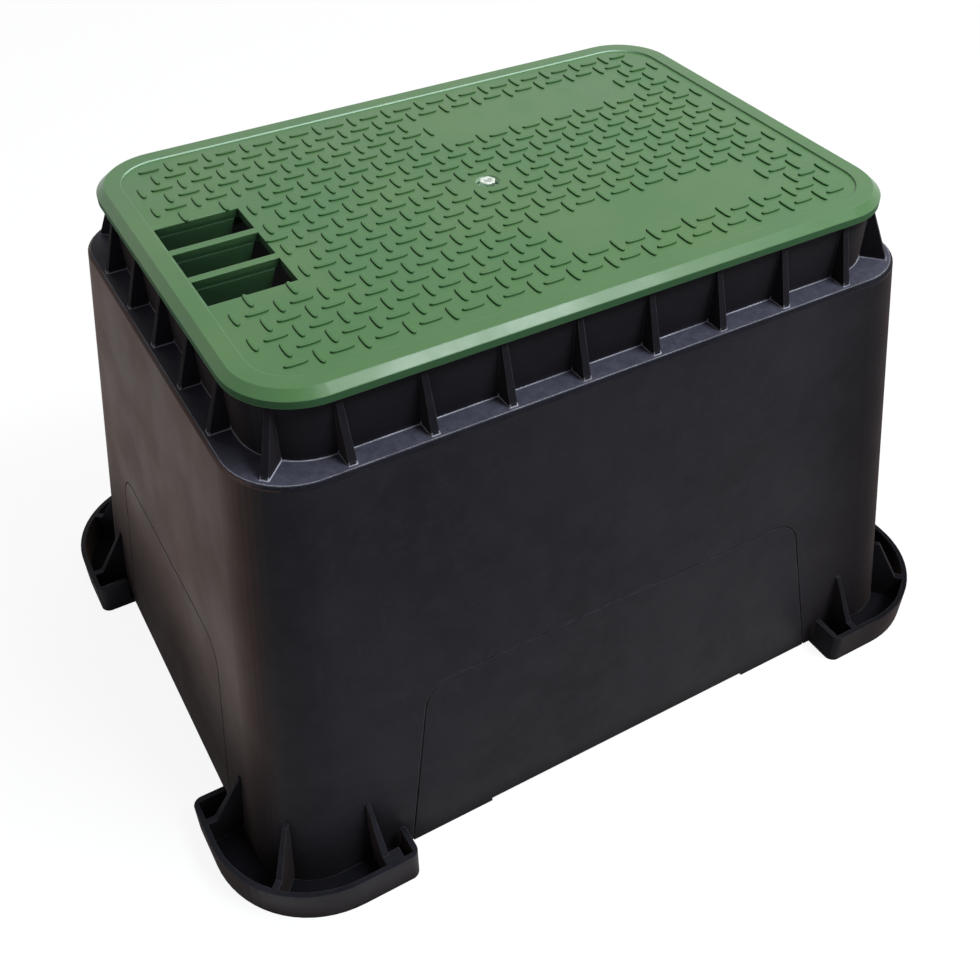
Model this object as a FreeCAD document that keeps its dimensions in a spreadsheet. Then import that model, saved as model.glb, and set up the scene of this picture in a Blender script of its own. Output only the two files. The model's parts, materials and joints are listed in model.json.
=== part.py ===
"""Irrigation valve box: a flared box with a neck, corner feet and a bolt-down lid.

The origin is on the ground under the middle of the box. X runs along the long side, Z is up,
and the three finger slots of the lid are at the -X end.
"""

import FreeCAD, Part

import math
import os

import Sketcher

doc = FreeCAD.newDocument("ValveBox")
sheet = doc.addObject("Spreadsheet::Sheet", "Sizes")


class Size:
    """A number of millimetres together with the expression that gives it from the sheet."""

    def __init__(self, value, text):
        self.value = value
        self.text = text

    def joined(self, other, sign, value):
        return Size(value, "(" + self.text + " " + sign + " " + as_size(other).text + ")")

    def __add__(self, other):
        return self.joined(other, "+", self.value + as_size(other).value)

    def __sub__(self, other):
        return self.joined(other, "-", self.value - as_size(other).value)

    def __mul__(self, other):
        return self.joined(other, "*", self.value * as_size(other).value)

    def __truediv__(self, other):
        return self.joined(other, "/", self.value / as_size(other).value)

    def __neg__(self):
        return self * -1


def as_size(number):
    return number if isinstance(number, Size) else Size(number, repr(number))


def cotangent(angle):
    """The cotangent of an angle in degrees."""
    return Size(1 / math.tan(math.radians(angle.value)), "(1 / tan(" + angle.text + " * 1 deg))")


# Lid
lid_length = 380.0  # lid, along X
lid_width = 256.0  # lid, along Y
lid_corner = 38.0  # radius of the lid's corners
lid_edge = 4.0  # height of the upright band at the lid's edge
bevel_rise = 3.8  # height of the bevel above the band
bevel_run = 4.6  # width of the bevel seen from above
tread_border = 13.5  # smooth border around the tread field
tread_drop = 0.9  # how far the tread field lies below the border
tread_corner = 25.0  # radius of the tread field's corners
plate_thickness = 5.0  # plate under the tread field
tread_step_x = 11.25  # spacing of the tread's bars along X
tread_step_y = 11.5  # spacing of the tread's bars along Y
tread_bar_length = 9.4  # raised bar of the tread
tread_bar_width = 1.8  # raised bar of the tread
tread_bar_height = 0.8  # raised bar of the tread
tread_margin = 5.0  # tread field's edge to the bars
tread_slot_gap = 6.0  # slots to the middle of a bar that lies along X
panel_start = 1.5  # middle of the lid to the two panels without bars, along X
panel_length = 132.0  # panel without bars
panel_offset = 52.0  # middle of the lid to the panels, along Y
panel_width = 34.0  # panel without bars
skirt_clearance = 1.0  # gap between the skirt and the neck
skirt_thickness = 3.0  # wall of the locating skirt
skirt_depth = 14.0  # skirt below the rim of the neck
rib_thickness = 3.0  # stiffening ribs under the plate
rib_depth = 16.0  # height of the ribs under the plate
rib_pitch = 52.0  # spacing of the ribs that run along Y
rib_spread = 62.0  # offset of the outer ribs that run along X

# Finger slots
slot_length = 46.0  # each slot, along X
slot_width = 24.0  # each slot, along Y
slot_divider = 4.6  # web between two slots
slot_margin = 14.5  # lid's end to the slots
fin_step = 0.8  # how far a fin stands proud below the plate
fin_depth = 26.0  # fins below the plate
fin_setback = 3.0  # fin's free edge behind the slot's end, at the plate
fin_taper = 9.0  # further setback at the fin's foot
finger_room = 12.0  # free space beyond the slots under the plate

# Box
wall = 4.0  # wall of the box
lid_overhang = 4.0  # lid beyond the neck
neck_height = 33.0  # neck above the shoulder
shoulder_height = 265.0  # shoulder above the ground
shoulder_ledge = 14.4  # width of the shoulder outside the neck
shoulder_bevel = 1.6  # bevel of the shoulder's outer edge
wall_flare = 31.5  # how far the walls lean out from shoulder to ground
wall_corner = 38.0  # radius of the box's upright corners

# Gussets of the neck
gusset_foot = 4.4  # thickness of a gusset at the shoulder
gusset_tip = 3.2  # thickness of a gusset at its top
gusset_drop = 2.0  # top of a gusset below the rim
gusset_inset = 2.6  # foot of a gusset inside the shoulder's edge
gusset_nose = 1.2  # depth of a gusset at its top
long_pitch = 42.2  # spacing of the gussets on a long side
short_pitch = 40.2  # spacing of the gussets on a short side

# Corner feet
foot_reach = 21.8  # foot beyond the wall at the ground
foot_corner = 64.0  # outer radius of a foot
foot_run_long = 100.0  # foot along a long side
foot_run_short = 97.0  # foot along a short side
foot_floor = 3.5  # floor of a foot
foot_wall = 3.2  # lip and end walls of a foot
foot_height = 22.0  # lip of a foot above the ground
foot_end_round = 6.0  # rounded outer corners of a foot's ends
brace_thickness = 3.8  # brace between a foot and the wall
brace_tip = 2.4  # thickness of a brace at its top
brace_height = 49.0  # top of a brace above the ground
brace_inset = 18.0  # foot's end to its first brace
brace_seat = 7.0  # flat top of a brace at the lip
brace_nose = 1.5  # depth of a brace at its top
stake_block = 7.0  # small block on the front left foot

# Knock-outs scored in the walls
score_width = 1.0  # width of a scored line
score_depth = 0.8  # depth of a scored line
score_round = 20.0  # rounded corners of a scored line
score_lean = 79.5  # angle of the long side's scored line, in degrees
long_score_base = 298.0  # knock-out of a long side at the ground
long_score_height = 117.0  # its height along the wall
short_score_lean = 86.0  # angle of the short side's line, in degrees
short_score_base = 184.0  # knock-out of a short side at the ground
short_score_height = 126.0  # its height along the wall
edge_relief = 2.2  # lower edge of a long wall above the ground
relief_length = 190.0  # length of that relief

# Bolt, washer, bar and nut
bolt_diameter = 5.0  # shank of the bolt
head_flats = 8.0  # bolt head and nut across flats
head_height = 3.5  # bolt head
head_dish = 4.4  # shallow dish in the bolt head
dish_depth = 0.4  # depth of the dish
washer_diameter = 10.0  # washer
washer_thickness = 1.0  # washer
washer_clearance = 0.3  # washer around the shank
recess_diameter = 13.4  # round recess around the bolt head
recess_depth = 4.0  # recess below the tread field
boss_diameter = 24.0  # boss under the plate
boss_depth = 22.0  # boss below the plate
bolt_clearance = 0.5  # lid's bore around the shank
bolt_tail = 4.0  # shank below the nut
nut_height = 4.0  # nut
bar_width = 24.0  # lock bar
bar_thickness = 4.0  # lock bar
bar_end_gap = 6.0  # bar's end to the neck when it is locked
bar_corner = 6.0  # corners of the lock bar
bar_gap = 1.0  # bar below the lugs
lug_width = 44.0  # catch lug, along X
lug_reach = 16.0  # catch lug into the neck
lug_height = 7.0  # catch lug
lug_drop = 30.0  # top of a lug below the rim


def entered(values):
    """Write each number of a namespace in the sheet under its own name; return them as sizes."""
    sizes = {}
    for name, value in values.items():
        if isinstance(value, float):
            cell = str(len(sizes) + 1)
            sheet.set("A" + cell, name)
            sheet.set("B" + cell, str(value))
            sheet.setAlias("B" + cell, name)
            sizes[name] = Size(value, "Sizes." + name)
    return sizes


globals().update(entered(globals()))

# Sizes worked out from the driving ones
zero = as_size(0.0)
rim = shoulder_height + neck_height
lid_top = rim + lid_edge + bevel_rise
tread_face = lid_top - tread_drop
plate_under = tread_face - plate_thickness
neck_length = lid_length - lid_overhang * 2
neck_width = lid_width - lid_overhang * 2
neck_corner = lid_corner - lid_overhang
bore_length = neck_length - wall * 2
bore_width = neck_width - wall * 2
bore_corner = neck_corner - wall
shoulder_length = neck_length + shoulder_ledge * 2
shoulder_width = neck_width + shoulder_ledge * 2
ceiling = shoulder_height - wall
base_length = shoulder_length + wall_flare * 2
base_width = shoulder_width + wall_flare * 2
foot_length = base_length + foot_reach * 2
foot_width = base_width + foot_reach * 2
slot_start = -(lid_length / 2) + slot_margin
slot_end = slot_start + slot_length
slot_pitch = slot_width + slot_divider
lug_bottom = rim - lug_drop - lug_height
bar_top = lug_bottom - bar_gap
bar_bottom = bar_top - bar_thickness
nut_bottom = bar_bottom - nut_height
washer_seat = tread_face - recess_depth
head_seat = washer_seat + washer_thickness

LONG_GUSSETS = 8
SHORT_GUSSETS = 5
CROSS_RIBS = 5
SLOTS = 3

# How far a cutting solid runs past the face that it opens
past = as_size(5.0)

# How far two heights may lie apart and count as one
TOUCH = 0.001

UP = FreeCAD.Vector(0, 0, 1)
CORNERS = ((-1, -1), (1, -1), (1, 1), (-1, 1))
CORNER_TURNS = {(-1, -1): -45, (1, -1): 45, (1, 1): 135, (-1, 1): -135}
ROOT_TWO = math.sqrt(2)


def bind(thing, path, size):
    thing.setExpression(path, as_size(size).text)


def place(thing, x=zero, y=zero, z=zero):
    for axis, size in (("x", x), ("y", y), ("z", z)):
        bind(thing, "Placement.Base." + axis, size)


def box(name, x, y, z):
    """A box between two sizes along each axis."""
    solid = doc.addObject("Part::Box", name)
    for side, (low, high) in (("Length", x), ("Width", y), ("Height", z)):
        bind(solid, side, as_size(high) - low)
    place(solid, as_size(x[0]), as_size(y[0]), as_size(z[0]))
    return solid


def across(middle, width):
    """The two ends of a width that is centred on a place."""
    return (as_size(middle) - width / 2, as_size(middle) + width / 2)


def cylinder(name, diameter, z):
    solid = doc.addObject("Part::Cylinder", name)
    bind(solid, "Radius", diameter / 2)
    bind(solid, "Height", z[1] - z[0])
    place(solid, z=z[0])
    return solid


def fuse(name, solids):
    joined = doc.addObject("Part::MultiFuse", name)
    joined.Shapes = solids
    return joined


def cut(name, base, tools):
    """Take one or more solids away from another."""
    result = doc.addObject("Part::Cut", name)
    result.Base = base
    result.Tool = tools[0] if len(tools) == 1 else fuse(name + "Tools", tools)
    return result


def common(name, first, second):
    result = doc.addObject("Part::Common", name)
    result.Base = first
    result.Tool = second
    return result


def dimension(sketch, kind, places, size, label):
    """A dimension of a sketch, bound to a size."""
    size = as_size(size)
    value = math.radians(size.value) if kind == "Angle" else size.value
    sketch.addConstraint(Sketcher.Constraint(kind, *places, value))
    index = sketch.ConstraintCount - 1
    sketch.renameConstraint(index, label)
    degrees = " * 1 deg" if kind == "Angle" else ""
    sketch.setExpression("Constraints." + label, size.text + degrees)


def draw_rounded(sketch, length, width, radius):
    """A rectangle with four equal rounded corners, centred on the sketch's origin."""
    half_x, half_y, bend = length.value / 2, width.value / 2, radius.value
    corners = ((1, -1), (1, 1), (-1, 1), (-1, -1))
    for number, (i, j) in enumerate(corners):
        centre = FreeCAD.Vector(i * (half_x - bend), j * (half_y - bend), 0)
        start = math.radians(90 * number - 90)
        circle = Part.Circle(centre, UP, bend)
        sketch.addGeometry(Part.ArcOfCircle(circle, start, start + math.pi / 2))
    for number in range(4):
        here = sketch.Geometry[number].EndPoint
        there = sketch.Geometry[(number + 1) % 4].StartPoint
        sketch.addGeometry(Part.LineSegment(here, there))
    for number in range(4):
        line = 4 + number
        sketch.addConstraint(Sketcher.Constraint("Tangent", number, 2, line, 1))
        sketch.addConstraint(Sketcher.Constraint("Tangent", line, 2, (number + 1) % 4, 1))
        lies = "Horizontal" if number % 2 else "Vertical"
        sketch.addConstraint(Sketcher.Constraint(lies, line))
    for number in range(3):
        sketch.addConstraint(Sketcher.Constraint("Equal", number, number + 1))
    sketch.addConstraint(Sketcher.Constraint("Symmetric", 0, 3, 2, 3, -1, 1))
    dimension(sketch, "Radius", (0,), radius, "corner")
    dimension(sketch, "DistanceX", (6, 1, 4, 1), length, "length")
    dimension(sketch, "DistanceY", (7, 1, 5, 1), width, "width")


def draw_circle(sketch, diameter, label="diameter"):
    number = sketch.addGeometry(Part.Circle(FreeCAD.Vector(0, 0, 0), UP, diameter.value / 2))
    sketch.addConstraint(Sketcher.Constraint("Coincident", number, 3, -1, 1))
    dimension(sketch, "Diameter", (number,), diameter, label)


def draw_hexagon(sketch, flats):
    """A regular hexagon with two flats along X, on a construction circle."""
    reach = flats.value / math.sqrt(3)
    turns = [math.radians(60 * number) for number in range(7)]
    points = [FreeCAD.Vector(reach * math.cos(a), reach * math.sin(a), 0) for a in turns]
    for here, there in zip(points, points[1:]):
        sketch.addGeometry(Part.LineSegment(here, there))
    ring = sketch.addGeometry(Part.Circle(FreeCAD.Vector(0, 0, 0), UP, reach), True)
    sketch.addConstraint(Sketcher.Constraint("Coincident", ring, 3, -1, 1))
    for number in range(6):
        after = (number + 1) % 6
        sketch.addConstraint(Sketcher.Constraint("Coincident", number, 2, after, 1))
        sketch.addConstraint(Sketcher.Constraint("PointOnObject", number, 1, ring))
        if number:
            sketch.addConstraint(Sketcher.Constraint("Equal", 0, number))
    sketch.addConstraint(Sketcher.Constraint("Horizontal", 1))
    dimension(sketch, "DistanceY", (4, 1, 1, 1), flats, "flats")


def draw_arch(sketch, base, lean, height, bend, below):
    """An upright trapezium with two rounded upper corners that runs on below the ground line."""
    slope = math.radians(lean.value)
    foot_width = base + below * 2 * cotangent(lean)
    run = bend.value * math.tan(slope / 2)
    top_left = -base.value / 2 + height.value / math.tan(slope)
    foot = FreeCAD.Vector(-foot_width.value / 2, -below.value, 0)
    spring = FreeCAD.Vector(top_left - run * math.cos(slope), height.value - run * math.sin(slope), 0)
    crown = FreeCAD.Vector(top_left + run, height.value, 0)
    centre = crown - FreeCAD.Vector(0, bend.value, 0)

    def mirrored(point):
        return FreeCAD.Vector(-point.x, point.y, 0)

    def arc(middle, start, end):
        return Part.ArcOfCircle(Part.Circle(middle, UP, bend.value), start, end)

    upright = math.pi / 2
    for item in (Part.LineSegment(foot, spring),
                 arc(centre, upright, upright + slope),
                 Part.LineSegment(crown, mirrored(crown)),
                 arc(mirrored(centre), upright - slope, upright),
                 Part.LineSegment(mirrored(spring), mirrored(foot)),
                 Part.LineSegment(mirrored(foot), foot)):
        sketch.addGeometry(item)
    for ends in ((4, 2, 5, 1), (5, 2, 0, 1)):
        sketch.addConstraint(Sketcher.Constraint("Coincident", *ends))
    for ends in ((0, 2, 1, 2), (1, 1, 2, 1), (2, 2, 3, 2), (3, 1, 4, 1)):
        sketch.addConstraint(Sketcher.Constraint("Tangent", *ends))
    for ends in ((5, 1, 5, 2, -2), (1, 3, 3, 3, -2)):
        sketch.addConstraint(Sketcher.Constraint("Symmetric", *ends))
    sketch.addConstraint(Sketcher.Constraint("Equal", 1, 3))
    dimension(sketch, "Radius", (1,), bend, "bend")
    dimension(sketch, "DistanceY", (5, 1, -1, 1), below, "below")
    dimension(sketch, "DistanceY", (-1, 1, 2, 1), height, "height")
    dimension(sketch, "DistanceX", (5, 2, 5, 1), foot_width, "foot")
    dimension(sketch, "Angle", (5, 2, 0, 1), lean, "lean")


def rounded(name, length, width, radius, z, middle=(zero, zero)):
    """A flat rounded rectangle at a height."""
    sketch = doc.addObject("Sketcher::SketchObject", name)
    draw_rounded(sketch, length, width, radius)
    place(sketch, *middle, z)
    return sketch


def prism(name, sketch, ahead, back=zero):
    """A sketch pushed along its own normal, both ways."""
    solid = doc.addObject("Part::Extrusion", name)
    solid.Base = sketch
    solid.DirMode = "Normal"
    solid.Solid = True
    bind(solid, "LengthFwd", ahead)
    bind(solid, "LengthRev", back)
    return solid


def slab(name, length, width, radius, z, middle=(zero, zero)):
    """An upright block with four rounded corners between two heights."""
    outline = rounded(name + "Outline", length, width, radius, z[0], middle)
    return prism(name, outline, z[1] - z[0])


def hopper(name, low, high):
    """A block whose outline changes from one rounded rectangle to another."""
    solid = doc.addObject("Part::Loft", name)
    solid.Sections = [rounded(name + "Low", *low), rounded(name + "High", *high)]
    solid.Solid = True
    solid.Ruled = True
    return solid


def turned(turn, tilt=90):
    about_z = FreeCAD.Rotation(UP, turn)
    return about_z.multiply(FreeCAD.Rotation(FreeCAD.Vector(1, 0, 0), tilt))


def web(name, spot, turn, thickness, z, depth, root):
    """An upright web with a sloping free edge.

    It starts at a spot in plan, less its root, and runs outwards: along -Y when turn is 0.
    thickness, z and depth each give its lower and upper end.
    """
    solid = doc.addObject("Part::Wedge", name)
    solid.Placement.Rotation = turned(turn)
    for end, width in zip(("X", "X2"), thickness):
        bind(solid, end + "min", width / -2)
        bind(solid, end + "max", width / 2)
    bind(solid, "Ymin", z[0])
    bind(solid, "Ymax", z[1])
    bind(solid, "Zmin", -root)
    bind(solid, "Z2min", -root)
    bind(solid, "Zmax", depth[0])
    bind(solid, "Z2max", depth[1])
    place(solid, *spot)
    return solid


def new_body(name):
    body = doc.addObject("PartDesign::Body", name)
    body.Label = name
    return body


def flat_sketch(body, name, z):
    """A level sketch in a body, at a height."""
    sketch = body.newObject("Sketcher::SketchObject", name)
    plane = [item for item in body.Origin.OriginFeatures if item.Role == "XY_Plane"][0]
    sketch.AttachmentSupport = [(plane, "")]
    sketch.MapMode = "FlatFace"
    bind(sketch, "AttachmentOffset.Base.z", z)
    return sketch


def pad(body, name, sketch, length, downwards=False):
    feature = body.newObject("PartDesign::Pad", name)
    feature.Profile = sketch
    feature.Reversed = downwards
    bind(feature, "Length", length)
    return feature


def corner_spot(length, width, radius, i, j):
    """The middle of one rounded corner of a rectangle, in plan."""
    slack = radius * (1 - 1 / ROOT_TWO)
    return ((length / 2 - slack) * i, (width / 2 - slack) * j)


def neck_gussets():
    """Gussets from the neck out to the edge of the shoulder, one in each corner too."""
    webs = []
    heights = (shoulder_height - gusset_inset, rim - gusset_drop)

    def add(spot, turn, ledge=shoulder_ledge):
        name = "Gusset%02d" % len(webs)
        depths = (ledge - gusset_inset, gusset_nose)
        webs.append(web(name, spot, turn, (gusset_foot, gusset_tip), heights, depths, wall / 2))

    for number in range(LONG_GUSSETS):
        x = long_pitch * (number - (LONG_GUSSETS - 1) / 2)
        add((x, -neck_width / 2), 0)
        add((x, neck_width / 2), 180)
    for number in range(SHORT_GUSSETS):
        y = short_pitch * (number - (SHORT_GUSSETS - 1) / 2)
        add((-neck_length / 2, y), -90)
        add((neck_length / 2, y), 90)
    corner_ledge = shoulder_ledge * ROOT_TWO - (wall_corner - neck_corner) * (ROOT_TWO - 1)
    for i, j in CORNERS:
        spot = corner_spot(neck_length, neck_width, neck_corner, i, j)
        add(spot, CORNER_TURNS[(i, j)], corner_ledge)
    return webs


def foot_braces():
    """Three braces in each corner foot: one on each side and one on the diagonal."""
    webs = []
    back = wall_flare / shoulder_height * brace_height
    low = (zero, foot_height)
    high = (foot_height, brace_height)

    def add(spot, turn, reach):
        name = "Brace%02d" % (len(webs) // 2)
        root = back + wall / 2
        even = (brace_thickness, brace_thickness)
        webs.append(web(name + "Low", spot, turn, even, low, (reach, reach), root))
        slope = (reach - brace_seat, brace_nose - back)
        tapered = (brace_thickness, brace_tip)
        webs.append(web(name + "High", spot, turn, tapered, high, slope, root))

    reach = foot_reach - foot_wall / 2
    corner_reach = foot_reach * ROOT_TWO - (foot_corner - wall_corner) * (ROOT_TWO - 1) - foot_wall / 2
    along = foot_length / 2 - foot_run_long + brace_inset
    aside = foot_width / 2 - foot_run_short + brace_inset
    for i, j in CORNERS:
        add((along * i, base_width / 2 * j), 0 if j < 0 else 180, reach)
        add((base_length / 2 * i, aside * j), -90 if i < 0 else 90, reach)
        spot = corner_spot(base_length, base_width, wall_corner, i, j)
        add(spot, CORNER_TURNS[(i, j)], corner_reach)
    return webs


def corner_feet():
    """Four trays with a raised lip and end walls, one around each corner of the box."""
    ground = (zero, foot_height)
    block = slab("FootBlock", foot_length, foot_width, foot_corner, ground)
    tray = slab("FootTray", foot_length - foot_wall * 2, foot_width - foot_wall * 2,
                foot_corner - foot_wall, (foot_floor, foot_height + past))
    parts = [cut("FootRing", block, [tray])]
    zones = []
    start_x = foot_length / 2 - foot_run_long
    start_y = foot_width / 2 - foot_run_short
    for number, (i, j) in enumerate(CORNERS):
        tag = str(number)
        end_x = across((start_x + foot_wall / 2) * i, foot_wall)
        side_y = across((foot_width - foot_reach) / 2 * j, foot_reach - foot_wall)
        parts.append(box("LongEnd" + tag, end_x, side_y, ground))
        end_y = across((start_y + foot_wall / 2) * j, foot_wall)
        side_x = across((foot_length - foot_reach) / 2 * i, foot_reach - foot_wall)
        parts.append(box("ShortEnd" + tag, side_x, end_y, ground))
        middle = ((foot_length - foot_run_long) / 2 * i, (foot_width - foot_run_short) / 2 * j)
        zones.append(slab("FootZone" + tag, foot_run_long, foot_run_short, foot_end_round, ground, middle))
    block_x = -start_x - brace_inset + brace_thickness / 2
    lip_y = foot_wall - foot_width / 2
    parts.append(box("StakeBlock", (block_x, block_x + stake_block),
                     (lip_y - foot_wall / 2, lip_y + stake_block), ground))
    return common("CornerFeet", fuse("FootParts", parts), fuse("FootZones", zones))


def scored_line(name, spot, turn, base, lean, height):
    """A groove in a leaning wall, around a knock-out that is open to the ground."""
    tilt = math.degrees(math.atan2(shoulder_height.value, wall_flare.value))
    rings = []
    for tag, inset in (("Outer", zero), ("Inner", score_width)):
        sketch = doc.addObject("Sketcher::SketchObject", name + tag)
        draw_arch(sketch, base - inset * 2, lean, height - inset, score_round - inset, past)
        sketch.Placement.Rotation = turned(turn, tilt)
        place(sketch, *spot)
        rings.append(prism(name + tag + "Prism", sketch, past, score_depth))
    return cut(name, rings[0], [rings[1]])


def leaning_block(name, top, inset, radius, bevel=None):
    """The form of the leaning walls from the ground to a height, with rounded upright corners."""
    body = new_body(name)
    block = body.newObject("PartDesign::AdditiveWedge", name + "Wedge")
    block.Placement.Rotation = turned(0)
    bind(block, "Ymin", zero)
    bind(block, "Ymax", top)
    for end, height in (("", zero), ("2", top)):
        spread = wall_flare * (shoulder_height - height) / shoulder_height - inset
        for axis, half in (("X", shoulder_length / 2 + spread), ("Z", shoulder_width / 2 + spread)):
            bind(block, axis + end + "min", -half)
            bind(block, axis + end + "max", half)
    doc.recompute()
    soft = body.newObject("PartDesign::Fillet", name + "Corners")
    soft.Base = (block, edges_between(block, zero.value, top.value))
    bind(soft, "Radius", radius)
    if bevel:
        doc.recompute()
        rim_cut = body.newObject("PartDesign::Chamfer", name + "Bevel")
        rim_cut.Base = (soft, edges_between(soft, top.value, top.value))
        bind(rim_cut, "Size", bevel)
    return body


def edges_between(feature, low, high):
    """The names of a feature's edges that run from one height to another."""
    names = []
    for number, edge in enumerate(feature.Shape.Edges, 1):
        reach = edge.BoundBox
        if abs(reach.ZMin - low) < TOUCH and abs(reach.ZMax - high) < TOUCH:
            names.append("Edge%d" % number)
    return names


def make_body():
    """The box: leaning walls, shoulder, neck, gussets and feet, hollow and open at both ends."""
    walls = leaning_block("Walls", shoulder_height, zero, wall_corner, shoulder_bevel)
    neck = slab("Neck", neck_length, neck_width, neck_corner, (ceiling, rim))
    shell = fuse("OuterForm", [walls, neck, corner_feet()] + neck_gussets() + foot_braces())
    hollow = leaning_block("Hollow", ceiling, wall, wall_corner - wall)
    bore = slab("NeckBore", bore_length, bore_width, bore_corner, (ceiling - past, rim + past))
    half_x, half_y = base_length / 2, base_width / 2
    grooves = []
    for tag, side, turn in (("Front", -1, 0), ("Rear", 1, 180)):
        grooves.append(scored_line(tag + "Score", (zero, half_y * side), turn,
                                   long_score_base, score_lean, long_score_height))
        grooves.append(box(tag + "Relief", across(zero, relief_length),
                           across(half_y * side, wall * 4), (zero, edge_relief)))
    for tag, side, turn in (("Left", -1, -90), ("Right", 1, 90)):
        grooves.append(scored_line(tag + "Score", (half_x * side, zero), turn,
                                   short_score_base, short_score_lean, short_score_height))
    open_shell = cut("OpenShell", shell, [hollow, bore] + grooves)
    lugs = []
    for tag, side in (("Front", -1), ("Rear", 1)):
        middle = (bore_width / 2 + wall / 2 - (lug_reach + wall / 2) / 2) * side
        lugs.append(box(tag + "Lug", across(zero, lug_width), across(middle, lug_reach + wall / 2),
                        (lug_bottom, lug_bottom + lug_height)))
    result = fuse("BodyForm", [open_shell] + lugs)
    result.Label = "body"
    return result


def lid_ribs(inner_length, inner_width):
    """Ribs under the plate, kept off the space behind the finger slots."""
    low = plate_under - rib_depth
    heights = (low, plate_under)
    ribs = []
    for number in range(CROSS_RIBS):
        x = rib_pitch * (number - (CROSS_RIBS - 1) / 2 + 0.5)
        ribs.append(box("CrossRib%d" % number, across(x, rib_thickness),
                        across(zero, inner_width + skirt_thickness), heights))
    for tag, y in (("Front", -rib_spread), ("Middle", zero), ("Rear", rib_spread)):
        ribs.append(box("LongRib" + tag, across(zero, inner_length + skirt_thickness),
                        across(y, rib_thickness), heights))
    room_end = slot_end + finger_room
    room = box("FingerRoom", (-inner_length / 2 - skirt_thickness, room_end),
               across(zero, slot_pitch * SLOTS), (low - past, plate_under))
    return cut("Ribs", fuse("RibGrid", ribs), [room])


def slot_fins():
    """Webs under the plate beside the slots, each with a free edge that slopes back."""
    heights = (plate_under - fin_depth, plate_under)
    depths = (slot_length - fin_setback - fin_taper, slot_length - fin_setback)
    fins = []
    even = (slot_divider + fin_step * 2, slot_divider + fin_step * 2)
    for number in range(SLOTS + 1):
        spot = (slot_start, slot_pitch * (number - SLOTS / 2))
        fins.append(web("Fin%d" % number, spot, 90, even, heights, depths, skirt_thickness))
    end_x = (slot_start - skirt_thickness, slot_start)
    fins.append(box("SlotEnd", end_x, across(zero, slot_pitch * SLOTS), heights))
    return fins


def outside(x, y, start_x, end_x, start_y, end_y):
    """How far a spot lies outside a rectangle, all in millimetres."""
    return math.hypot(max(start_x - x, x - end_x, 0), max(start_y - y, y - end_y, 0))


def has_bar(x, y, half_x, half_y):
    """Whether the tread has room for a bar, given its middle and its half sizes."""
    bend = (tread_corner - tread_margin).value
    reach_x = lid_length.value / 2 - (tread_border + tread_margin).value - bend
    reach_y = lid_width.value / 2 - (tread_border + tread_margin).value - bend
    if outside(abs(x) + half_x, abs(y) + half_y, 0, reach_x, 0, reach_y) > bend:
        return False
    if outside(0, 0, abs(x) - half_x, abs(x) + half_x, abs(y) - half_y, abs(y) + half_y) \
            < recess_diameter.value / 2:
        return False
    panel_x = (panel_start.value - half_x, (panel_start + panel_length).value + half_x)
    panel_y = (panel_offset.value - half_y, (panel_offset + panel_width).value + half_y)
    if panel_x[0] < x < panel_x[1] and panel_y[0] < abs(y) < panel_y[1]:
        return False
    slots_x = slot_end.value
    slots_y = (slot_pitch * SLOTS / 2 - slot_divider / 2).value
    if x - half_x < slots_x and abs(y) - half_y < slots_y:
        return False
    lies_beside = x - tread_slot_gap.value < slots_x and abs(y) - tread_slot_gap.value < slots_y
    return not (lies_beside and y and half_x > half_y)


def tread():
    """The raised bars of the tread, alternately along Y and along X."""
    bars = []
    rows = int((lid_width / 2 / tread_step_y).value)
    columns = int((lid_length / 2 / tread_step_x).value)
    for row in range(-rows, rows + 1):
        for column in range(-columns, columns + 1):
            x, y = tread_step_x * column, tread_step_y * row
            length, width = tread_bar_length, tread_bar_width
            if (column + row) % 2 == 0:
                length, width = width, length
            if has_bar(x.value, y.value, length.value / 2, width.value / 2):
                bars.append(box("Bar%d" % len(bars), across(x, length), across(y, width),
                                (tread_face - tread_bar_height / 2, tread_face + tread_bar_height)))
    return bars


def make_lid():
    """The cover: bevelled plate with a sunk tread field, slots, skirt, ribs and boss."""
    band_top = rim + lid_edge
    plate = slab("LidBand", lid_length, lid_width, lid_corner, (rim, band_top))
    bevel = hopper("LidBevel", (lid_length, lid_width, lid_corner, band_top),
                   (lid_length - bevel_run * 2, lid_width - bevel_run * 2, lid_corner - bevel_run, lid_top))
    field = slab("TreadField", lid_length - tread_border * 2, lid_width - tread_border * 2,
                 tread_corner, (tread_face, lid_top + past))
    outer_length = bore_length - skirt_clearance * 2
    outer_width = bore_width - skirt_clearance * 2
    outer_corner = bore_corner - skirt_clearance
    inner_length = outer_length - skirt_thickness * 2
    inner_width = outer_width - skirt_thickness * 2
    inner_corner = outer_corner - skirt_thickness
    under = slab("LidUnderside", inner_length, inner_width, inner_corner, (rim - past, plate_under))
    skirt_low = rim - skirt_depth
    skirt_outer = slab("SkirtOuter", outer_length, outer_width, outer_corner, (skirt_low, plate_under))
    skirt_inner = slab("SkirtInner", inner_length, inner_width, inner_corner,
                       (skirt_low - past, plate_under))
    skirt = cut("Skirt", skirt_outer, [skirt_inner])
    boss = cylinder("Boss", boss_diameter, (plate_under - boss_depth, plate_under))
    openings = [field, under]
    for number in range(SLOTS):
        middle = slot_pitch * (number - (SLOTS - 1) / 2)
        openings.append(box("Slot%d" % number, (slot_start, slot_end),
                            across(middle, slot_width), (rim - past, lid_top + past)))
    top = cut("LidTop", fuse("LidBlank", [plate, bevel]), openings)
    ribs = lid_ribs(inner_length, inner_width)
    whole = fuse("LidWhole", [top, skirt, ribs, boss] + slot_fins() + tread())
    bolt_bore = cylinder("BoltBore", bolt_diameter + bolt_clearance * 2,
                         (plate_under - boss_depth - past, lid_top + past))
    recess = cylinder("BoltRecess", recess_diameter, (washer_seat, lid_top + past))
    result = cut("LidForm", whole, [bolt_bore, recess])
    result.Label = "lid"
    return result


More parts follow.
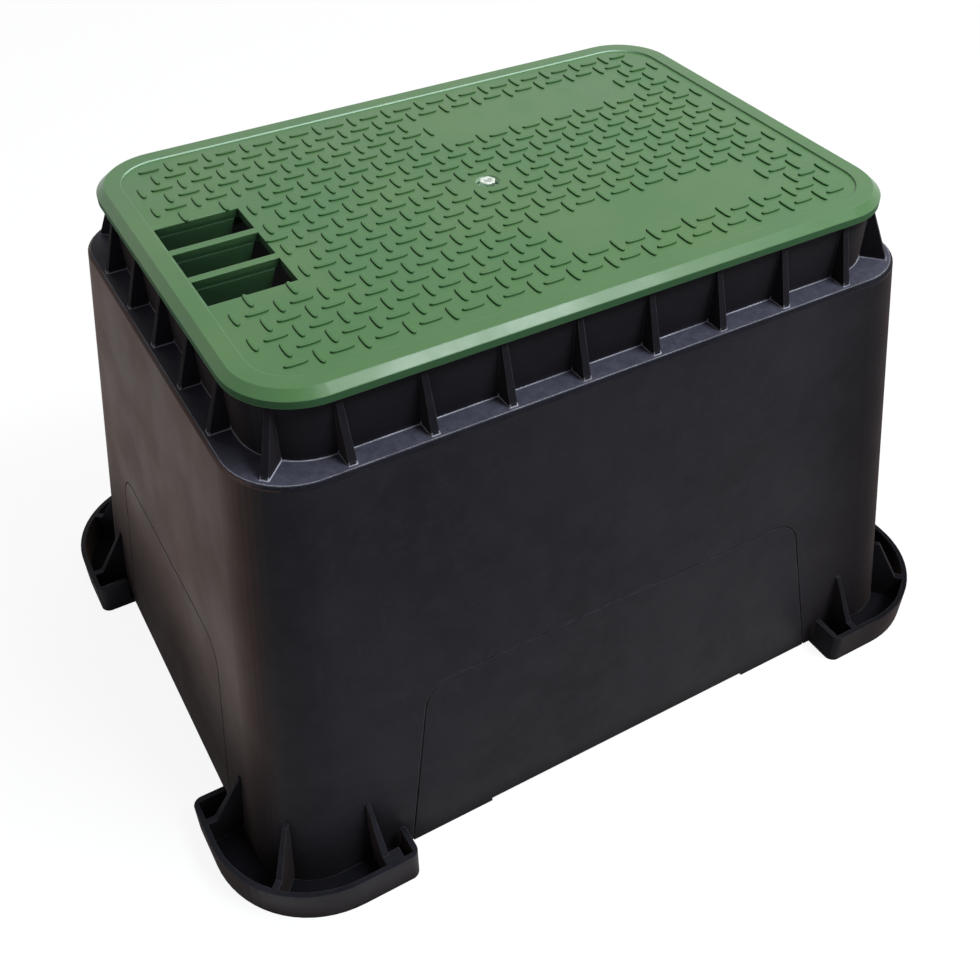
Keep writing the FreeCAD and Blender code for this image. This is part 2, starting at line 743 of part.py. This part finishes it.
def make_bolt():
    body = new_body("lid_bolt")
    head = flat_sketch(body, "HeadOutline", head_seat)
    draw_hexagon(head, head_flats)
    pad(body, "Head", head, head_height)
    dish = flat_sketch(body, "DishOutline", head_seat + head_height)
    draw_circle(dish, head_dish)
    pocket = body.newObject("PartDesign::Pocket", "Dish")
    pocket.Profile = dish
    bind(pocket, "Length", dish_depth)
    shank = flat_sketch(body, "ShankOutline", head_seat)
    draw_circle(shank, bolt_diameter)
    pad(body, "Shank", shank, head_seat - nut_bottom + bolt_tail, downwards=True)
    return body


def make_washer():
    body = new_body("bolt_washer")
    ring = flat_sketch(body, "WasherOutline", washer_seat)
    draw_circle(ring, washer_diameter)
    draw_circle(ring, bolt_diameter + washer_clearance * 2, "bore")
    pad(body, "Washer", ring, washer_thickness)
    return body


def make_bar():
    """The bar lies along X when the lid is free and turns a quarter to lie along Y."""
    body = new_body("lock_bar")
    outline = flat_sketch(body, "BarOutline", bar_bottom)
    draw_rounded(outline, bore_width - bar_end_gap * 2, bar_width, bar_corner)
    draw_circle(outline, bolt_diameter, "bore")
    pad(body, "Bar", outline, bar_thickness)
    return body


def make_nut():
    body = new_body("lock_nut")
    outline = flat_sketch(body, "NutOutline", nut_bottom)
    draw_hexagon(outline, head_flats)
    draw_circle(outline, bolt_diameter, "bore")
    pad(body, "Nut", outline, nut_height)
    return body


def export(pieces):
    """Check every object and write each piece to its own file."""
    doc.recompute()
    for item in doc.Objects:
        if "Invalid" in item.State or "Error" in item.State:
            raise RuntimeError("not built: " + item.Name)
    os.makedirs("parts", exist_ok=True)
    for piece in pieces:
        shape = piece.Shape
        if shape.isNull() or not shape.isValid() or len(shape.Solids) != 1:
            raise RuntimeError("not one sound solid: " + piece.Label)
        shape.exportStep(os.path.join("parts", piece.Label + ".step"))
        print(piece.Label, round(shape.Volume), "mm3")


export([make_body(), make_lid(), make_bolt(), make_washer(), make_bar(), make_nut()])
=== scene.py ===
import json
import math

import bmesh
import bpy
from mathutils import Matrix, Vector


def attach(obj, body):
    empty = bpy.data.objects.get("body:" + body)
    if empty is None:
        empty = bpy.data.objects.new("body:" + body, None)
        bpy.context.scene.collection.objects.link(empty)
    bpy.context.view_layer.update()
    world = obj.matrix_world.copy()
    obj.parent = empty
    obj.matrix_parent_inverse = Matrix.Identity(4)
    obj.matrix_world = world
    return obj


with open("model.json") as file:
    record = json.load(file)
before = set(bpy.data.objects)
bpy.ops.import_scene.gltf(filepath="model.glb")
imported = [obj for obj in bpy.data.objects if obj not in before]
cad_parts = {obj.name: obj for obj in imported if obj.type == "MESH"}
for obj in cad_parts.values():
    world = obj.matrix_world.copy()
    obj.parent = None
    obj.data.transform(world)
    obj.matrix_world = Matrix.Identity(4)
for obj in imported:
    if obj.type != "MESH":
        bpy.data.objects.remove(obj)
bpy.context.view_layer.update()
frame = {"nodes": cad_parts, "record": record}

MM = 0.001

# Heights above the ground
TREAD_FACE = 304.9 * MM
LID_BAND_TOP = 302.0 * MM
SHOULDER_TOP = 265.0 * MM
SHOULDER_BEVEL_FOOT = 263.4 * MM

# Where the painted highlight along the shoulder's edges begins and ends
SHOULDER_GLINT_LOW = SHOULDER_TOP - 0.9 * MM
SHOULDER_GLINT_HIGH = SHOULDER_TOP + 2.0 * MM


class Finish:
    """A procedural material, made node by node on the object's own coordinates in metres."""

    def __init__(self, name):
        self.material = bpy.data.materials.new(name)
        self.material.use_nodes = True
        self.tree = self.material.node_tree
        self.shader = self.tree.nodes["Principled BSDF"]
        self.place = self.add("ShaderNodeTexCoord").outputs["Object"]

    def add(self, kind, options=None, sockets=None):
        """A new node with its options set and its sockets linked or given a value."""
        node = self.tree.nodes.new(kind)
        for name, value in (options or {}).items():
            setattr(node, name, value)
        for name, value in (sockets or {}).items():
            self.feed(node.inputs[name], value)
        return node

    def feed(self, socket, value):
        if isinstance(value, bpy.types.NodeSocket):
            self.tree.links.new(value, socket)
        else:
            socket.default_value = value

    def math(self, operation, first, second=0.0):
        node = self.add("ShaderNodeMath", {"operation": operation}, {0: first, 1: second})
        return node.outputs[0]

    def noise(self, scale, detail=4.0, roughness=0.55, stretch=(1.0, 1.0, 1.0)):
        """Cloudy values around a half; stretch squeezes the pattern along each axis."""
        place = self.add("ShaderNodeMapping", None, {"Vector": self.place, "Scale": stretch})
        sockets = {"Vector": place.outputs[0], "Scale": scale, "Detail": detail, "Roughness": roughness}
        return self.add("ShaderNodeTexNoise", None, sockets).outputs["Fac"]

    def cracks(self, scale):
        """The distance to the nearest border of a cell pattern."""
        sockets = {"Vector": self.place, "Scale": scale}
        node = self.add("ShaderNodeTexVoronoi", {"feature": "DISTANCE_TO_EDGE"}, sockets)
        return node.outputs["Distance"]

    def window(self, value, low, high, start=0.0, end=1.0):
        """Values from low to high become start to end, without leaving them."""
        names = ("Value", "From Min", "From Max", "To Min", "To Max")
        sockets = dict(zip(names, (value, low, high, start, end)))
        return self.add("ShaderNodeMapRange", {"interpolation_type": "SMOOTHSTEP"}, sockets).outputs[0]

    def blend(self, factor, first, second):
        node = self.add("ShaderNodeMix", {"data_type": "RGBA"}, {0: factor, 6: first, 7: second})
        return node.outputs[2]

    def rounded_normal(self, radius):
        """The surface's normal with its edges rounded off."""
        return self.add("ShaderNodeBevel", {"samples": 6}, {"Radius": radius}).outputs[0]

    def edges(self, normal):
        """1 along the edges, 0 on open faces."""
        plain = self.add("ShaderNodeNewGeometry").outputs["Normal"]
        dot = self.add("ShaderNodeVectorMath", {"operation": "DOT_PRODUCT"}, {0: plain, 1: normal})
        return self.window(dot.outputs["Value"], 0.995, 0.86)

    def hollows(self, reach, shallow, deep):
        """1 deep in hollows and 0 in the open, from how much of the surroundings is near."""
        node = self.add("ShaderNodeAmbientOcclusion", {"samples": 8}, {"Distance": reach})
        return self.window(node.outputs["AO"], shallow, deep)

    def off_axis(self):
        """The distance from the upright line through the object's origin."""
        level = self.add("ShaderNodeVectorMath", {"operation": "MULTIPLY"},
                         {0: self.place, 1: (1.0, 1.0, 0.0)}).outputs[0]
        return self.add("ShaderNodeVectorMath", {"operation": "LENGTH"}, {0: level}).outputs["Value"]

    def spot(self, axis):
        """Where along an axis of the object."""
        return self.add("ShaderNodeSeparateXYZ", None, {"Vector": self.place}).outputs[axis]

    def along(self, axis, low, high, start=0.0, end=1.0):
        """Places from low to high along an axis get values from start to end."""
        return self.window(self.spot(axis), low, high, start, end)

    def facing(self, axis):
        """1 on faces that look along an axis, -1 on those that look against it."""
        plain = self.add("ShaderNodeNewGeometry").outputs["True Normal"]
        return self.add("ShaderNodeSeparateXYZ", None, {"Vector": plain}).outputs[axis]

    def steepness(self):
        """0 on level faces, 1 on upright ones."""
        return self.math("SUBTRACT", 1.0, self.math("ABSOLUTE", self.facing("Z")))

    def joined(self, operation, values):
        result = values[0]
        for value in values[1:]:
            result = self.math(operation, result, value)
        return result

    def product(self, *values):
        return self.joined("MULTIPLY", values)

    def most(self, *values):
        return self.joined("MAXIMUM", values)

    def rest(self, value):
        return self.math("SUBTRACT", 1.0, value)

    def green_base(self):
        """The green of the lid: two close tones in patches, a cooler one, dust and fine scratches."""
        patches = self.window(self.noise(16.0, 3.0), 0.36, 0.66)
        color = self.blend(patches, (0.082, 0.207, 0.07, 1), (0.1, 0.221, 0.076, 1))
        cool = self.window(self.noise(7.0, 2.0), 0.5, 0.72, 0.0, 0.4)
        color = self.blend(cool, color, (0.068, 0.2, 0.076, 1))
        mottle = self.window(self.noise(170.0, 5.0, 0.7), 0.3, 0.7, 0.0, 0.22)
        color = self.blend(mottle, color, (0.105, 0.235, 0.085, 1))
        dust = self.window(self.noise(45.0, 6.0, 0.7), 0.52, 0.78, 0.0, 0.12)
        color = self.blend(dust, color, (0.14, 0.25, 0.12, 1))
        zone = self.window(self.noise(14.0, 2.0), 0.54, 0.66)
        scratch = self.window(self.noise(260.0, 2.0, 0.4, (1.0, 0.05, 1.0)), 0.7, 0.76, 0.0, 0.2)
        return self.blend(self.product(zone, scratch), color, (0.2, 0.32, 0.18, 1))

    def bump(self, height, distance, normal, strength):
        sockets = {"Height": height, "Distance": distance, "Strength": strength, "Normal": normal}
        return self.add("ShaderNodeBump", None, sockets).outputs[0]

    def green_grain(self, normal):
        """The fine grain of the lid's plastic."""
        return self.bump(self.noise(1500.0, 2.0, 0.5), 0.05 * MM, normal, 0.4)

    def finish(self, color, roughness, normal, others):
        """Feed the shader; others gives more of its sockets a constant."""
        self.feed(self.shader.inputs["Base Color"], color)
        self.feed(self.shader.inputs["Roughness"], roughness)
        self.feed(self.shader.inputs["Normal"], normal)
        for name, value in others.items():
            self.feed(self.shader.inputs[name], value)
        return self.material


def green_plastic():
    """Moulded polyolefin of the lid: fine grain, soft patches, scuffs, painted shade inside the slots
    and on the upright band, painted light in the bolt's recess, pale worn edges that also paint
    highlights, and a painted highlight on the tread step.
    """
    look = Finish("green_plastic")
    normal = look.rounded_normal(0.8 * MM)
    color = look.green_base()

    # Painted shade: dark inside the slots, with level ledges as well; painted light makes the bolt's
    # recess pale where its real shade would fall
    sunk = look.along("Z", TREAD_FACE - 0.1 * MM, TREAD_FACE - 0.7 * MM)
    recess = look.product(look.window(look.off_axis(), 12.0 * MM, 8.0 * MM), sunk)
    ledge = look.window(look.facing("Z"), 0.9, 0.97)
    deep = look.product(look.most(look.hollows(60.0 * MM, 0.8, 0.5), ledge), sunk, look.rest(recess))
    color = look.blend(look.window(deep, 0.0, 1.0, 0.0, 0.95), color, (0.003, 0.024, 0.006, 1))
    color = look.blend(recess, color, (0.5, 0.68, 0.5, 1))

    # Painted shade on the upright band at the lid's edge, and on what is upright below it
    band = look.product(look.along("Z", LID_BAND_TOP + 0.3 * MM, LID_BAND_TOP - 0.4 * MM),
                        look.window(look.steepness(), 0.6, 0.9, 0.0, 0.75), look.rest(deep))
    color = look.blend(band, color, (0.014, 0.075, 0.03, 1))

    # Pale worn edges, which also paint highlights along the edges
    edge_patches = look.window(look.noise(70.0, 5.0), 0.35, 0.7, 0.3, 0.75)
    wear_and_edge_glint = look.product(look.edges(normal), edge_patches, look.window(deep, 0.0, 1.0, 1.0, 0.1))
    color = look.blend(wear_and_edge_glint, color, (0.25, 0.44, 0.25, 1))

    # The step around the tread field: a painted highlight, strongest where it looks to the front
    tread_step_highlight = look.product(look.along("Z", TREAD_FACE + 0.02 * MM, TREAD_FACE + 0.1 * MM),
                        look.window(look.steepness(), 0.6, 0.9),
                        look.window(look.facing("Y"), -0.3, -0.9, 0.15, 1.0))
    color = look.blend(tread_step_highlight, color, (0.75, 0.98, 0.8, 1))

    normal = look.bump(look.noise(60.0, 3.0), 0.25 * MM, look.green_grain(normal), 0.35)
    roughness = look.window(look.noise(30.0, 5.0, 0.65), 0.3, 0.7, 0.27, 0.36)
    dull = look.window(look.most(deep, band), 0.0, 1.0, 0.0, 0.6)
    return look.finish(color, look.math("ADD", roughness, dull), normal, {"Specular IOR Level": 0.33})


def tread_plastic():
    """The same plastic on the raised bars, with painted shade along their steep sides, darkest on the
    sides that look towards -X.
    """
    look = Finish("tread_plastic")
    normal = look.rounded_normal(0.15 * MM)
    steep = look.window(look.steepness(), 0.12, 0.5)
    # Painted shade along the steep sides, darkest where they look towards -X
    painted_side_shade = look.product(steep, look.window(look.facing("X"), 0.1, -0.6, 0.62, 0.96))
    color = look.blend(painted_side_shade, look.green_base(), (0.004, 0.024, 0.005, 1))
    roughness = look.window(painted_side_shade, 0.0, 1.0, 0.36, 0.95)
    return look.finish(color, roughness, look.green_grain(normal), {"Specular IOR Level": 0.24})


def black_plastic():
    """Black plastic of the box: soft mottling, a painted warm reflection on the left wall, painted shade
    where the box is shaded, dust and a painted cool sheen on the shoulder, pale worn edges that also
    paint highlights, and a painted highlight along the shoulder's edges.
    """
    look = Finish("black_plastic")
    normal = look.rounded_normal(0.7 * MM)
    clouds = look.window(look.noise(9.0, 5.0, 0.6), 0.33, 0.68)
    color = look.blend(clouds, (0.0095, 0.0098, 0.0145, 1), (0.0175, 0.017, 0.023, 1))
    mottle = look.window(look.noise(70.0, 5.0, 0.7), 0.35, 0.7, 0.0, 0.4)
    color = look.blend(mottle, color, (0.025, 0.025, 0.032, 1))
    speckle = look.window(look.noise(420.0, 3.0, 0.6), 0.6, 0.8, 0.0, 0.3)
    color = look.blend(speckle, color, (0.045, 0.045, 0.053, 1))
    scuff = look.window(look.noise(150.0, 4.0, 0.6, (1.0, 1.0, 0.18)), 0.55, 0.75, 0.0, 0.25)
    scuff = look.product(scuff, look.window(look.noise(11.0, 3.0), 0.56, 0.72))
    color = look.blend(scuff, color, (0.045, 0.044, 0.048, 1))

    # A painted warm reflection on the left wall and the bevel above it, ending towards the ground
    rim = look.product(look.along("Z", SHOULDER_BEVEL_FOOT - 1.0 * MM, SHOULDER_BEVEL_FOOT),
                       look.along("Z", SHOULDER_TOP - 0.2 * MM, SHOULDER_TOP - 0.8 * MM))
    left_rim = look.product(rim, look.window(look.facing("X"), -0.4, -0.65))
    left = look.most(look.window(look.facing("X"), -0.66, -0.995), left_rim)
    painted_warm_reflection = look.product(left, look.along("Z", SHOULDER_TOP + 0.2 * MM, SHOULDER_TOP - 0.2 * MM),
                         look.along("Z", 0.0, 160.0 * MM))
    patchy = look.window(look.noise(13.0, 4.0), 0.3, 0.7, 0.6, 1.0)
    color = look.blend(look.product(painted_warm_reflection, patchy), color, (0.11, 0.061, 0.048, 1))

    # Darker and less shiny, as painted shade: the rest of what looks left, what stands above the
    # shoulder, and the trays of the feet; the right half of the walls and the rest of the bevel are
    # darker too
    left_rest = look.product(left, look.rest(painted_warm_reflection))
    right = look.product(look.along("Z", SHOULDER_BEVEL_FOOT, SHOULDER_BEVEL_FOOT - 2.4 * MM),
                         look.along("X", 90.0 * MM, 225.0 * MM))
    bevel = look.product(rim, look.rest(left))
    upright = look.window(look.steepness(), 0.05, 0.3)
    neck = look.product(upright, look.along("Z", SHOULDER_TOP + 1.0 * MM, SHOULDER_TOP + 3.0 * MM), 0.55)
    trays = look.product(look.hollows(35.0 * MM, 0.8, 0.4), look.along("Z", 75.0 * MM, 45.0 * MM))
    dull = look.most(left_rest, right, bevel, neck, trays)
    color = look.blend(look.window(dull, 0.0, 1.0, 0.0, 0.75), color, (0.003, 0.003, 0.005, 1))

    # Dust and a painted cool sheen on the level faces from the shoulder up, less of both on the
    # shoulder's left side
    high = look.along("Z", SHOULDER_TOP - 30.0 * MM, SHOULDER_TOP - 10.0 * MM)
    dust_and_sheen_patches = look.window(look.noise(240.0, 5.0, 0.7), 0.25, 0.75, 0.5, 1.0)
    less_dust_and_sheen = look.product(look.along("X", -180.0 * MM, -196.0 * MM),
                           look.along("Y", -125.0 * MM, -105.0 * MM, 0.0, 0.75))
    dust = look.product(look.rest(upright), high, dust_and_sheen_patches, look.rest(less_dust_and_sheen))
    color = look.blend(dust, color, (0.09, 0.09, 0.128, 1))

    # Pale worn edges, which also paint highlights along the edges
    wear_and_edge_glint = look.product(look.edges(normal), look.window(look.noise(90.0, 5.0), 0.3, 0.7, 0.15, 0.7))
    color = look.blend(wear_and_edge_glint, color, (0.12, 0.12, 0.14, 1))
    # A painted highlight: a pale line along the shoulder's edges and where the shoulder meets the neck
    shoulder_glint = look.product(look.edges(look.rounded_normal(1.3 * MM)),
                        look.along("Z", SHOULDER_GLINT_LOW, SHOULDER_GLINT_LOW + 0.8 * MM),
                        look.along("Z", SHOULDER_GLINT_HIGH, SHOULDER_GLINT_HIGH - 0.8 * MM),
                        look.window(look.noise(50.0, 4.0), 0.35, 0.65, 0.45, 1.0))
    color = look.blend(shoulder_glint, color, (0.8, 0.8, 0.9, 1))

    normal = look.bump(look.noise(900.0, 3.0, 0.6), 0.1 * MM, normal, 0.6)
    normal = look.bump(look.noise(16.0, 3.0), 0.8 * MM, normal, 0.3)
    roughness = look.math("ADD", look.window(look.noise(24.0, 5.0, 0.6), 0.3, 0.7, 0.5, 0.6),
                          look.window(dull, 0.0, 1.0, 0.0, 0.35))
    return look.finish(color, roughness, normal,
                       {"Specular IOR Level": 0.09, "Sheen Weight": 0.09, "Sheen Roughness": 0.4,
                        "Sheen Tint": (1.0, 0.68, 0.56, 1)})


def stainless():
    """Turned stainless steel of the bolt and washer, with fine tool marks and a dull film."""
    look = Finish("stainless")
    normal = look.rounded_normal(0.25 * MM)
    film = look.window(look.noise(600.0, 4.0), 0.4, 0.7)
    color = look.blend(film, (0.8, 0.86, 0.8, 1), (0.5, 0.58, 0.5, 1))
    # Painted shade: a dark centre standing in for a shallow dish in the head
    painted_dish_shade = look.window(look.off_axis(), 2.6 * MM, 1.4 * MM, 0.0, 0.5)
    color = look.blend(painted_dish_shade, color, (0.22, 0.27, 0.23, 1))
    marks = look.noise(2500.0, 2.0, 0.5, (1.0, 0.08, 1.0))
    normal = look.bump(marks, 0.03 * MM, normal, 0.5)
    roughness = look.window(look.noise(900.0, 3.0), 0.3, 0.7, 0.24, 0.42)
    return look.finish(color, roughness, normal, {"Metallic": 1.0})


def plated_steel():
    """Zinc-plated steel of the lock bar and nut, with faint spangle."""
    look = Finish("plated_steel")
    normal = look.rounded_normal(0.3 * MM)
    spangle = look.window(look.cracks(320.0), 0.0, 0.6)
    color = look.blend(spangle, (0.56, 0.57, 0.58, 1), (0.42, 0.43, 0.45, 1))
    stain = look.window(look.noise(60.0, 5.0, 0.65), 0.55, 0.75, 0.0, 0.5)
    color = look.blend(stain, color, (0.3, 0.29, 0.26, 1))
    normal = look.bump(look.noise(1200.0, 2.0), 0.03 * MM, normal, 0.4)
    roughness = look.window(spangle, 0.0, 1.0, 0.3, 0.5)
    return look.finish(color, roughness, normal, {"Metallic": 1.0})


def dress_nodes():
    """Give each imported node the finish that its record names."""
    finishes = {"black_plastic": black_plastic(), "green_plastic": green_plastic(),
                "stainless": stainless(), "plated_steel": plated_steel(),
                "tread_plastic": tread_plastic()}
    slots = {part["node"]: part["material_slot"] for part in frame["record"]["subparts"]}
    for name, node in frame["nodes"].items():
        node.data.materials.clear()
        node.data.materials.append(finishes[slots[name]])
    return finishes


TREAD_STEP_X = 11.25 * MM
TREAD_STEP_Y = 11.5 * MM
TREAD_LAST_COLUMN = 15
TREAD_LAST_ROW = 9
BAR_LENGTH = 12.0 * MM
BAR_WIDTH = 3.3 * MM
BAR_HEIGHT = 0.95 * MM
BAR_POINTS = 24

# Steps of a bar's side from its foot to its top: how far in, and which share of the height
BAR_PROFILE = ((0.0, -0.15), (0.12, 0.4), (0.26, 0.72), (0.4, 0.88), (0.7, 0.97), (1.1, 1.0))
BAR_ROUNDING = 0.72

# Columns left bare, by the row's distance from the middle one
BARE_FIELDS = {5: range(0, 13), 6: range(1, 12), 7: range(0, 13), 0: range(-1, 2)}
# First column beyond the finger slots, by the row's distance from the middle one
SLOT_COLUMNS = {4: -10, 3: -11, 2: -10, 1: -11, 0: -11}


def has_bar(column, row):
    """Whether the tread pattern has a bar at a place of its grid."""
    level = abs(row)
    along_y = (column + row) % 2 == 0
    if column < SLOT_COLUMNS.get(level, -TREAD_LAST_COLUMN):
        return level == max(SLOT_COLUMNS) and along_y
    if abs(column) == TREAD_LAST_COLUMN:
        return along_y and level <= TREAD_LAST_ROW - 2
    return column not in BARE_FIELDS.get(level, ())


def bar_outline(inset):
    """A slim outline between an ellipse and a box, drawn in by a distance, around the bar's middle."""
    points = []
    for number in range(BAR_POINTS):
        turn = 2 * math.pi * number / BAR_POINTS
        parts = (math.cos(turn), math.sin(turn))
        x, y = (math.copysign(abs(part) ** BAR_ROUNDING, part) for part in parts)
        points.append((x * (BAR_LENGTH / 2 - inset), y * (BAR_WIDTH / 2 - inset)))
    return points


def add_bar(mesh, x, y, along_y):
    """One raised bar: sides that lean in, a rounded shoulder and an almost flat top."""
    rings = []
    for inset, share in BAR_PROFILE:
        ring = []
        for along, aside in bar_outline(inset * MM):
            if along_y:
                along, aside = -aside, along
            ring.append(mesh.verts.new((x + along, y + aside, TREAD_FACE + BAR_HEIGHT * share)))
        rings.append(ring)
    for lower, upper in zip(rings, rings[1:]):
        for number in range(BAR_POINTS):
            after = (number + 1) % BAR_POINTS
            mesh.faces.new((lower[number], lower[after], upper[after], upper[number])).smooth = True
    mesh.faces.new(rings[-1]).smooth = True


def tread_bars(finish):
    """The raised bars of the lid's tread, alternately along and across."""
    mesh = bmesh.new()
    for row in range(-TREAD_LAST_ROW, TREAD_LAST_ROW + 1):
        for column in range(-TREAD_LAST_COLUMN, TREAD_LAST_COLUMN + 1):
            if has_bar(column, row):
                add_bar(mesh, column * TREAD_STEP_X, row * TREAD_STEP_Y, (column + row) % 2 == 0)
    data = bpy.data.meshes.new("tread_bars")
    mesh.to_mesh(data)
    mesh.free()
    data.materials.append(finish)
    bars = bpy.data.objects.new("tread_bars", data)
    bpy.context.collection.objects.link(bars)
    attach(bars, "cover")


def seen_directly(tree):
    """1 for rays from the camera and for what shiny or clear surfaces show."""
    path = tree.nodes.new("ShaderNodeLightPath")
    result = path.outputs["Is Camera Ray"]
    for name in ("Is Glossy Ray", "Is Transmission Ray"):
        most = tree.nodes.new("ShaderNodeMath")
        most.operation = "MAXIMUM"
        tree.links.new(result, most.inputs[0])
        tree.links.new(path.outputs[name], most.inputs[1])
        result = most.outputs[0]
    return result


def mixed(tree, factor, plain, shown, output):
    """Show one shader to some rays and a plain one to the rest."""
    mix = tree.nodes.new("ShaderNodeMixShader")
    tree.links.new(factor, mix.inputs[0])
    tree.links.new(plain, mix.inputs[1])
    tree.links.new(shown, mix.inputs[2])
    tree.links.new(mix.outputs[0], output.inputs["Surface"])


FLOOR_GLOW = 0.9
FLOOR_SHADOW_SHARE = 0.17
FLOOR_REACH = 6.0
SKY_LIGHT = 0.16


def floor():
    """A pale floor that keeps the box's shadow."""
    data = bpy.data.meshes.new("floor")
    corners = [(x, y, -0.2 * MM) for x, y in ((-1, -1), (1, -1), (1, 1), (-1, 1))]
    data.from_pydata([(x * FLOOR_REACH, y * FLOOR_REACH, z) for x, y, z in corners], [], [(0, 1, 2, 3)])
    plane = bpy.data.objects.new("floor", data)
    bpy.context.collection.objects.link(plane)
    material = bpy.data.materials.new("floor")
    material.use_nodes = True
    tree = material.node_tree
    tree.nodes.clear()
    output = tree.nodes.new("ShaderNodeOutputMaterial")
    plain = tree.nodes.new("ShaderNodeBsdfDiffuse")
    plain.inputs["Color"].default_value = (0.52, 0.48, 0.45, 1)
    shade = tree.nodes.new("ShaderNodeBsdfDiffuse")
    shade.inputs["Color"].default_value = (FLOOR_SHADOW_SHARE,) * 3 + (1,)
    glow = tree.nodes.new("ShaderNodeEmission")
    glow.inputs["Strength"].default_value = FLOOR_GLOW
    shown = tree.nodes.new("ShaderNodeAddShader")
    tree.links.new(shade.outputs[0], shown.inputs[0])
    tree.links.new(glow.outputs[0], shown.inputs[1])
    mixed(tree, seen_directly(tree), plain.outputs[0], shown.outputs[0], output)
    data.materials.append(material)


def sky():
    """An even surround: white to look at, soft and slightly cool as a light."""
    world = bpy.data.worlds.new("studio")
    bpy.context.scene.world = world
    world.use_nodes = True
    tree = world.node_tree
    tree.nodes.clear()
    output = tree.nodes.new("ShaderNodeOutputWorld")
    plain = tree.nodes.new("ShaderNodeBackground")
    plain.inputs["Color"].default_value = (0.93, 0.96, 1.0, 1)
    plain.inputs["Strength"].default_value = SKY_LIGHT
    shown = tree.nodes.new("ShaderNodeBackground")
    shown.inputs["Color"].default_value = (1, 1, 1, 1)
    mixed(tree, seen_directly(tree), plain.outputs[0], shown.outputs[0], output)


def soft_light(name, spot, target, size, power, color):
    lamp = bpy.data.lights.new(name, "AREA")
    lamp.shape = "RECTANGLE"
    lamp.size, lamp.size_y = size
    lamp.energy = power
    lamp.color = color
    item = bpy.data.objects.new(name, lamp)
    item.location = spot
    item.rotation_euler = (Vector(target) - Vector(spot)).to_track_quat("-Z", "Y").to_euler()
    bpy.context.collection.objects.link(item)


def lights():
    middle = (0.0, 0.0, 0.2)
    soft_light("key", (0.8, -1.08, 2.08), middle, (0.95, 0.48), 35.0, (0.88, 0.95, 1.0))
    soft_light("top", (0.8, 0.05, 2.2), middle, (1.5, 1.5), 13.0, (1.0, 0.97, 0.93))


CAMERA_SPOT = (-0.2923, -0.5076, 0.6119)
CAMERA_TILT = 47.49
CAMERA_TURN = -30.06
CAMERA_LENS = 42.82


def camera():
    data = bpy.data.cameras.new("camera")
    data.lens = CAMERA_LENS
    data.sensor_width = 36.0
    data.clip_start = 0.01
    item = bpy.data.objects.new("camera", data)
    item.location = CAMERA_SPOT
    item.rotation_euler = (math.radians(CAMERA_TILT), 0.0, math.radians(CAMERA_TURN))
    bpy.context.collection.objects.link(item)
    bpy.context.scene.camera = item


camera()
finishes = dress_nodes()
tread_bars(finishes["tread_plastic"])
floor()
sky()
lights()
bpy.context.scene.view_settings.view_transform = "Standard"
